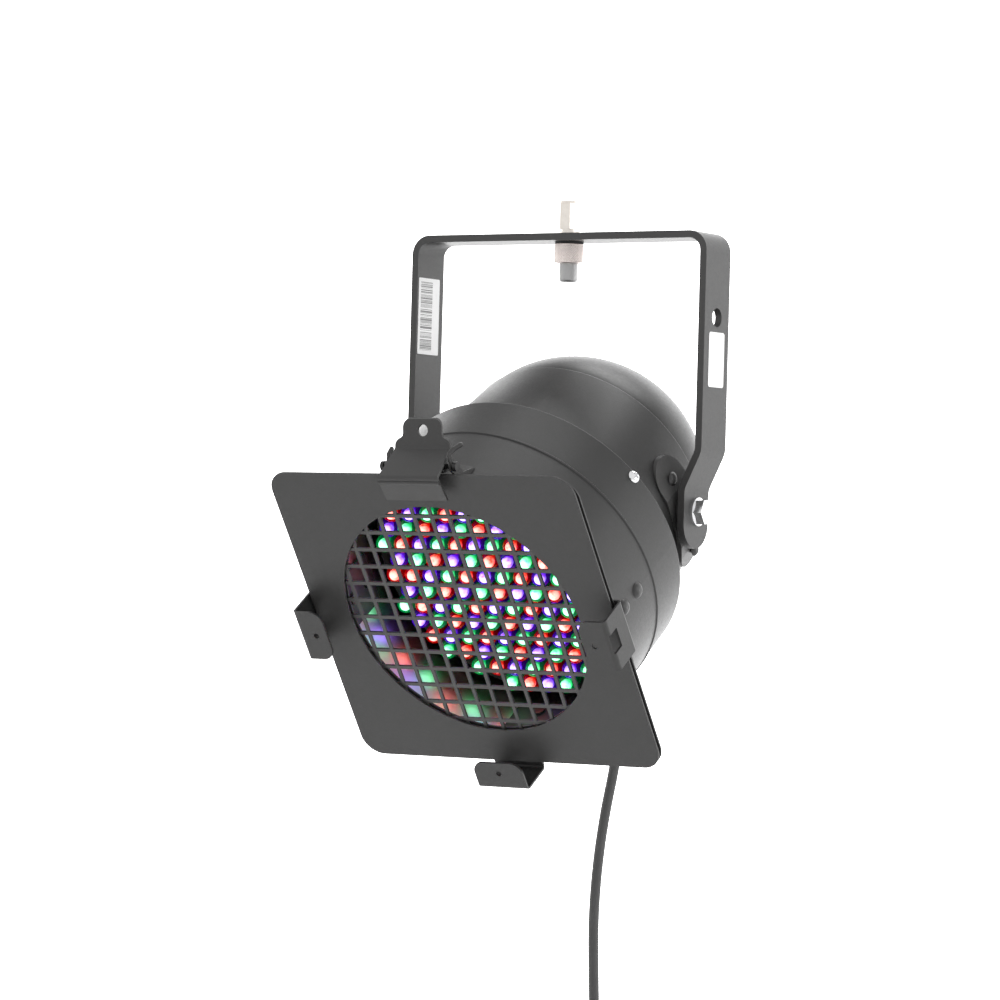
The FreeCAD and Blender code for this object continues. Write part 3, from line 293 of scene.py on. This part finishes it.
def dress_cad():
    dress(powder_coat("can_coat", 0.022, 0.40), "mid_can")
    dress(powder_coat("dome_coat", 0.018, 0.40), "rear_dome")
    dress(powder_coat("yoke_coat", 0.050, 0.42), "yoke", "tilt_bracket_left", "tilt_bracket_right")
    dress(powder_coat("frame_coat", 0.031, 0.45), "frame_front_sheet", "frame_back_sheet", "holder_left",
          "holder_right", "holder_bottom")
    # The spring clip and its base wear a lighter copy of the frame paint: painted light, for the brighter
    # light that falls on them.
    dress(powder_coat("clip_coat_painted_light", 0.042, 0.42), "spring_clip", "clip_base")
    dress(powder_coat("grille_coat", 0.05, 0.33), "guard_grille", "frame_spacers")
    dress(metal("chrome", (0.95, 0.95, 0.96), 0.1), "tilt_bolt_left", "tilt_bolt_right", "shell_screws",
          "pivot_nuts", "board_pillars")
    dress(metal("warm_nickel", (1.0, 0.94, 0.87), 0.3), "suspension_barrel")
    dress(metal("spring_steel", (0.6, 0.6, 0.61), 0.25), "clip_spring", "gripper_spring", "chassis_plate")
    dress(metal("socket_metal", (0.4, 0.4, 0.41), 0.3), "signal_in_shell", "signal_out_shell")
    dress(metal("gold", (0.85, 0.66, 0.3), 0.15), "signal_in_pins", "plug_pins")
    dress(metal("grey_aluminium", (0.52, 0.52, 0.52), 0.5), "release_tip")
    dress(powder_coat("rivet_coat", 0.035, 0.36), "holder_rivets", "small_rivets")
    dress(plastic("black_oxide", (0.012, 0.012, 0.012), 0.3), "clip_pin", "panel_screws")
    dress(plastic("black_rubber", (0.018, 0.018, 0.018), 0.6), "lock_washer", "friction_washers",
          "strain_relief", "plug_body", "cable_gland", "gland_nut")
    dress(plastic("board_black", (0.006, 0.006, 0.006), 0.4), "led_board")
    dress(plastic("board_green", (0.02, 0.12, 0.05), 0.4), "supply_board", "control_board")
    dress(plastic("dark_plastic", (0.015, 0.015, 0.018), 0.3), "transformer", "capacitors",
          "signal_out_insert", "display_window")
    dress(powder_coat("panel_coat", 0.03, 0.5), "control_panel")
    dress(plastic("button_grey", (0.12, 0.12, 0.12), 0.5), *["panel_button_%d" % i for i in range(1, 5)])
    dress(plastic("label_film", (0.95, 0.95, 0.95), 0.45), "arm_label")


INNER_WALL = 87.4 * MM


def can_radius_at(tree):
    """The distance of a shading point from the can's axis, in metres."""
    level = add(tree, "VectorRotate", rotation_type="X_AXIS")
    level.inputs["Center"].default_value = PIVOT
    level.inputs["Angle"].default_value = -TILT
    tree.links.new(add(tree, "TexCoord").outputs["Object"], level.inputs["Vector"])
    parts = add(tree, "SeparateXYZ")
    tree.links.new(level.outputs[0], parts.inputs[0])
    rise = math_node(tree, "SUBTRACT", parts.outputs["Z"], PIVOT.z + AXIS_RISE)
    square = math_node(tree, "ADD", math_node(tree, "MULTIPLY", parts.outputs["X"], parts.outputs["X"]),
                       math_node(tree, "MULTIPLY", rise, rise))
    return math_node(tree, "SQRT", square)


def dress_front_can():
    """Satin paint outside and a polished wall inside, told apart by the distance from the can's axis."""
    material = powder_coat("front_can_coat", 0.022, 0.40)
    tree = material.node_tree
    satin = tree.nodes["Principled BSDF"]
    gloss = add(tree, "BsdfPrincipled")
    gloss.inputs["Base Color"].default_value = (0.60, 0.60, 0.60, 1)
    gloss.inputs["Metallic"].default_value = 1.0
    gloss.inputs["Roughness"].default_value = 0.28
    bump(tree, gloss, noise(tree, 90.0, 2.0), 0.25, 0.6 * MM)
    inside = math_node(tree, "LESS_THAN", can_radius_at(tree), INNER_WALL)
    mix = add(tree, "MixShader")
    tree.links.new(inside, mix.inputs["Fac"])
    tree.links.new(satin.outputs[0], mix.inputs[1])
    tree.links.new(gloss.outputs[0], mix.inputs[2])
    tree.links.new(mix.outputs[0], tree.nodes["Material Output"].inputs["Surface"])
    dress(material, "front_can")


# ---------------------------------------------------------------- lamps

# The lamps stand in staggered rows; a row's count depends on its distance from the middle row.
LAMP_PITCH = 11.7
LAMP_COUNTS = {0: 13, 1: 12, 2: 13, 3: 12, 4: 11, 5: 10, 6: 7, 7: 4}
LAMP_FOOT = 63.0
LAMP_TALL = 13.0 * MM
LAMP_RADIUS = 5.0 * MM
FLANGE_EXTRA = 0.45 * MM
FLANGE_TOP, BODY_START = 1.3 * MM, 1.5 * MM
HEART_RADIUS = 3.2 * MM
HEART_BELOW_TIP = 0.8 * MM
HEART_TAIL = [(0.0, 2.6), (0.8, 3.0), (1.7, 5.2), (2.9, 7.0)]

# A lamp's colour at its edge, towards the heart, and at the heart's hottest.
GLOW = {"red": (1.0, 0.0, 0.0), "blue": (0.16, 0.0, 1.0), "green": (0.0, 0.75, 0.20)}
CORE = {"red": (1.0, 0.10, 0.05), "blue": (0.38, 0.10, 1.0), "green": (0.12, 1.0, 0.42)}
HOT = {"red": (1.0, 0.60, 0.50), "blue": (0.80, 0.66, 1.0), "green": (0.66, 1.0, 0.86)}


def lamp_spots():
    """Where each lamp stands on its board, in mm across and above the can's axis, by colour.

    The colours repeat red, blue, green along each row; the odd rows stand half a pitch aside.
    """
    spots = {colour: [] for colour in GLOW}
    order = list(GLOW)
    for row in range(-7, 8):
        count = LAMP_COUNTS[abs(row)]
        for i in range(count):
            step = i - (count - 1) / 2
            turn = int(step + (5 if row % 2 == 0 else 6.5)) % 3
            if row == 0 and i == 0:
                turn = 0  # this one lamp is red out of turn
            spots[order[turn]].append((step * LAMP_PITCH, row * LAMP_PITCH * math.sqrt(3) / 2))
    return spots


LATHE_SEGMENTS = 20


def lathe(shape, profile, place):
    """Turns a (radius, height, glow) profile about the place's own Z axis; glow goes to a vertex layer."""
    segments = LATHE_SEGMENTS
    layer = shape.verts.layers.float.get("glow") or shape.verts.layers.float.new("glow")
    rings = []
    for radius, height, glow in profile:
        if radius < 1e-6:
            spots = [Vector((0, 0, height))]
        else:
            spots = [Vector((radius * math.cos(2 * math.pi * i / segments),
                             radius * math.sin(2 * math.pi * i / segments), height)) for i in range(segments)]
        ring = [shape.verts.new(place @ spot) for spot in spots]
        for vertex in ring:
            vertex[layer] = glow
        rings.append(ring)
    for lower, upper in zip(rings, rings[1:]):
        for i in range(segments):
            a, b = lower[i % len(lower)], lower[(i + 1) % len(lower)]
            c, d = upper[(i + 1) % len(upper)], upper[i % len(upper)]
            corners = [v for n, v in enumerate((a, b, c, d)) if v not in (a, b, c, d)[:n]]
            if len(corners) > 2:
                shape.faces.new(corners).smooth = True


def quarter_round(radius, base, steps, first):
    """Points of a quarter circle from the side up to the crown, without the crown itself."""
    angles = [math.pi / 2 * i / steps for i in range(first, steps)]
    return [(radius * math.cos(a), base + radius * math.sin(a)) for a in angles]


def with_glow(points):
    return [(radius, height, height / LAMP_TALL) for radius, height in points]


def bullet_profile():
    """Half the outline of a round lamp: flange, straight body and domed end."""
    flange = LAMP_RADIUS + FLANGE_EXTRA
    low = LAMP_TALL - LAMP_RADIUS
    points = [(0, 0), (flange, 0), (flange, FLANGE_TOP), (LAMP_RADIUS, BODY_START)]
    points += [(LAMP_RADIUS, BODY_START + (low - BODY_START) * i / 3) for i in range(1, 4)]
    points += quarter_round(LAMP_RADIUS, low, 7, 1)
    points.append((0, LAMP_TALL))
    return with_glow(points)


def heart_profile():
    """Half the outline of a lamp's lit heart: a teardrop, widest near the lamp's tip."""
    crown = LAMP_TALL - HEART_BELOW_TIP - HEART_RADIUS
    points = [(radius * MM, height * MM) for radius, height in HEART_TAIL]
    points += quarter_round(HEART_RADIUS, crown, 6, 0)
    points.append((0, crown + HEART_RADIUS))
    return with_glow(points)


def lamp_shell_material(colour):
    """Clear tinted resin: it glows faintly with its colour, more towards the tip, and has a wet sheen."""
    material, tree, shader = new_material("resin_" + colour)
    glow = add(tree, "Attribute", attribute_name="glow").outputs["Fac"]
    tint = GLOW[colour]
    shader.inputs["Base Color"].default_value = (*[0.5 * c for c in tint], 1)
    shader.inputs["Roughness"].default_value = 0.08
    shader.inputs["Emission Color"].default_value = (*tint, 1)
    strength = math_node(tree, "MULTIPLY", math_node(tree, "POWER", glow, 2.0), 0.55)
    tree.links.new(strength, shader.inputs["Emission Strength"])
    clear = add(tree, "BsdfTransparent")
    clear.inputs["Color"].default_value = (*[0.45 + 0.55 * c for c in tint], 1)
    mix = add(tree, "MixShader")
    mix.inputs["Fac"].default_value = 0.35
    tree.links.new(clear.outputs[0], mix.inputs[1])
    tree.links.new(shader.outputs[0], mix.inputs[2])
    tree.links.new(mix.outputs[0], tree.nodes["Material Output"].inputs["Surface"])
    return material


def lamp_core_material(colour):
    """The lit heart of a lamp, almost white at its hottest."""
    material, tree, shader = new_material("heart_" + colour)
    glow = add(tree, "Attribute", attribute_name="glow").outputs["Fac"]
    shader.inputs["Base Color"].default_value = (0, 0, 0, 1)
    swirl = noise(tree, 420.0, 1.5, 0.5)
    uneven = math_node(tree, "MULTIPLY", math_node(tree, "SUBTRACT", swirl, 0.5), 0.9)
    heat = math_node(tree, "ADD", glow, uneven)
    tree.links.new(ramp(tree, heat, [(0.32, GLOW[colour]), (0.58, CORE[colour]), (0.88, HOT[colour])]),
                   shader.inputs["Emission Color"])
    towards_tip = math_node(tree, "MULTIPLY", math_node(tree, "POWER", glow, 4.0), 9.0)
    strength = math_node(tree, "ADD", towards_tip, 0.5)
    tree.links.new(strength, shader.inputs["Emission Strength"])
    return material


def add_piece(name, shape, material, body):
    """A visible mesh that moves with one of the part's bodies."""
    mesh = bpy.data.meshes.new(name)
    shape.to_mesh(mesh)
    shape.free()
    mesh.materials.append(material)
    piece = bpy.data.objects.new(name, mesh)
    bpy.context.collection.objects.link(piece)
    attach(piece, body)
    return piece


def add_lamps():
    """For each colour, a mesh of clear bullets in place of the CAD lamps, and one of the lit hearts inside."""
    forward = Matrix.Rotation(math.pi / 2, 4, "X")
    for colour, spots in lamp_spots().items():
        places = [HEAD @ Matrix.Translation((x * MM, -LAMP_FOOT * MM, AXIS_RISE + z * MM)) @ forward
                  for x, z in spots]
        for kind, profile, material in (("bulbs", bullet_profile(), lamp_shell_material),
                                        ("hearts", heart_profile(), lamp_core_material)):
            shape = bmesh.new()
            for place in places:
                lathe(shape, profile, place)
            piece = add_piece("%s_%s" % (kind, colour), shape, material(colour), "head_body")
            if kind == "bulbs":
                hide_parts("leds_" + colour)


# ---------------------------------------------------------------- gripper and labels

KNURL_DEPTH = 0.28 * MM
KNURL_AROUND = 36
SLEEVE_COLUMNS, SLEEVE_ROWS = 288, 96
SLEEVE_RIM = 0.8 * MM
SLEEVE_BEVEL = 0.5 * MM
SLEEVE_BORE = 5.56 * MM


def close_ring_faces(shape, lower, upper):
    for i in range(len(lower)):
        j = (i + 1) % len(lower)
        shape.faces.new((lower[i], lower[j], upper[j], upper[i]))


def add_knurled_sleeve():
    """The gripper's sleeve with its diamond knurl cut as real ridges, between two plain rims."""
    low, high = [Vector(c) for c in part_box("gripper_sleeve")]
    radius = (high.x - low.x) / 2
    span = high.z - low.z
    ridge_pitch = 2 * math.pi * radius / KNURL_AROUND
    shape = bmesh.new()
    rings = []
    for j in range(SLEEVE_ROWS + 1):
        height = low.z + span * j / SLEEVE_ROWS
        edge = min(height - low.z, high.z - height)
        along = (height - low.z) / ridge_pitch * math.pi
        bevel = max(0.0, SLEEVE_BEVEL - edge)
        ring = []
        for i in range(SLEEVE_COLUMNS):
            angle = 2 * math.pi * i / SLEEVE_COLUMNS
            around = angle * KNURL_AROUND / 2
            ridge = abs(math.sin(around + along)) * abs(math.sin(around - along))
            cut_in = KNURL_DEPTH * (1 - ridge) if edge > SLEEVE_RIM else 0.0
            reach = radius - cut_in - bevel
            ring.append(shape.verts.new((reach * math.cos(angle), reach * math.sin(angle), height)))
        rings.append(ring)
    shrink = SLEEVE_BORE / radius
    bottom, top = [[shape.verts.new((v.co.x * shrink, v.co.y * shrink, v.co.z)) for v in ring]
                   for ring in (rings[0], rings[-1])]
    rings = [bottom, *rings, top]
    for lower, upper in zip(rings, rings[1:] + rings[:1]):
        close_ring_faces(shape, lower, upper)
    sleeve = add_piece("knurled_sleeve", shape, metal("pink_steel", (1.0, 0.91, 0.87), 0.3), "yoke_body")
    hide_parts("gripper_sleeve")


BARS_PER_METRE = 4600.0
LABEL_INK = 0.24
BARE_ENDS = 2.2 * MM
BARS_FROM, BARS_TO = 0.10, 0.66


def printed_label():
    """White film with a block of plain printed bars along it, and no lettering."""
    material = plastic("printed_film", (0.93, 0.93, 0.93), 0.4)
    tree = material.node_tree
    low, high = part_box("serial_label")
    parts = add(tree, "SeparateXYZ")
    tree.links.new(add(tree, "TexCoord").outputs["Object"], parts.inputs[0])
    across, up = parts.outputs["Y"], parts.outputs["Z"]

    def between(value, least, most):
        return math_node(tree, "MULTIPLY", math_node(tree, "GREATER_THAN", value, least),
                         math_node(tree, "LESS_THAN", value, most))

    hashed = add(tree, "TexWhiteNoise", noise_dimensions="1D")
    bar = math_node(tree, "FLOOR", math_node(tree, "MULTIPLY", up, BARS_PER_METRE))
    tree.links.new(bar, hashed.inputs["W"])
    dark = math_node(tree, "GREATER_THAN", hashed.outputs["Value"], 0.48)
    width = high[1] - low[1]
    inside = between(across, low[1] + BARS_FROM * width, low[1] + BARS_TO * width)
    ends = between(up, low[2] + BARE_ENDS, high[2] - BARE_ENDS)
    ink = math_node(tree, "MULTIPLY", math_node(tree, "MULTIPLY", dark, inside), ends)
    shader = tree.nodes["Principled BSDF"]
    paper = shader.inputs["Base Color"].links[0].from_socket
    mix = add(tree, "Mix", data_type="RGBA")
    tree.links.new(ink, mix.inputs["Factor"])
    tree.links.new(paper, mix.inputs["A"])
    mix.inputs["B"].default_value = (*grey(LABEL_INK), 1)
    tree.links.new(mix.outputs["Result"], shader.inputs["Base Color"])
    return material


# ---------------------------------------------------------------- mains cord

# Given in mm: out of the gland, down behind the can, and to the top of the hank.
CORD_ROUTE = [
    (-7.0, 53.3, -203.0), (-13.4, 103.9, -260.0), (-29.1, 94.1, -358.2), (-27.3, 97.0, -450.0),
]
CORD_DIAMETER = 6 * MM
HANK_TURNS, POINTS_PER_TURN = 3.5, 14
HANK_HALF_WIDTH, HANK_TALL, HANK_PITCH = 20 * MM, 112 * MM, 6 * MM
HANK_END_DROP = 117.5 * MM


def hank_points(top):
    """The folded-up rest of the cord: upright oval turns side by side, and the end below them."""
    radius = CORD_DIAMETER / 2
    points = []
    for i in range(1, int(HANK_TURNS * POINTS_PER_TURN) + 1):
        turns_done = i / POINTS_PER_TURN
        angle = 2 * math.pi * turns_done
        points.append(top + Vector((HANK_HALF_WIDTH * math.sin(angle),
                                    (turns_done - HANK_TURNS / 2) * HANK_PITCH,
                                    (HANK_TALL / 2 - radius) * math.cos(angle) - HANK_TALL / 2 - radius)))
    points.append(top + Vector((0, 0, -HANK_END_DROP)))
    return points


def add_cord():
    """The mains lead: one smooth tube along the given route and round the hank."""
    points = [Vector(p) * MM for p in CORD_ROUTE]
    points += hank_points(points[-1])
    data = bpy.data.curves.new("mains_lead", "CURVE")
    data.dimensions = "3D"
    data.resolution_u = 16
    data.bevel_depth = CORD_DIAMETER / 2
    data.bevel_resolution = 6
    spline = data.splines.new("NURBS")
    spline.points.add(len(points) - 1)
    for knot, point in zip(spline.points, points):
        knot.co = (*point, 1)
    spline.use_endpoint_u = True
    spline.order_u = 3
    lead = bpy.data.objects.new("mains_lead", data)
    bpy.context.collection.objects.link(lead)
    data.materials.append(plastic("lead_rubber", (0.05, 0.05, 0.05), 0.5))
    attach(lead, "head_body")
    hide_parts("mains_cord", "mains_cord_hank")


add_camera()
add_studio()
dress_cad()
dress_front_can()
add_lamps()
add_knurled_sleeve()
dress(printed_label(), "serial_label")
dress(plastic("tie_black", (0.02, 0.02, 0.02), 0.7), "hank_tie")
add_cord()
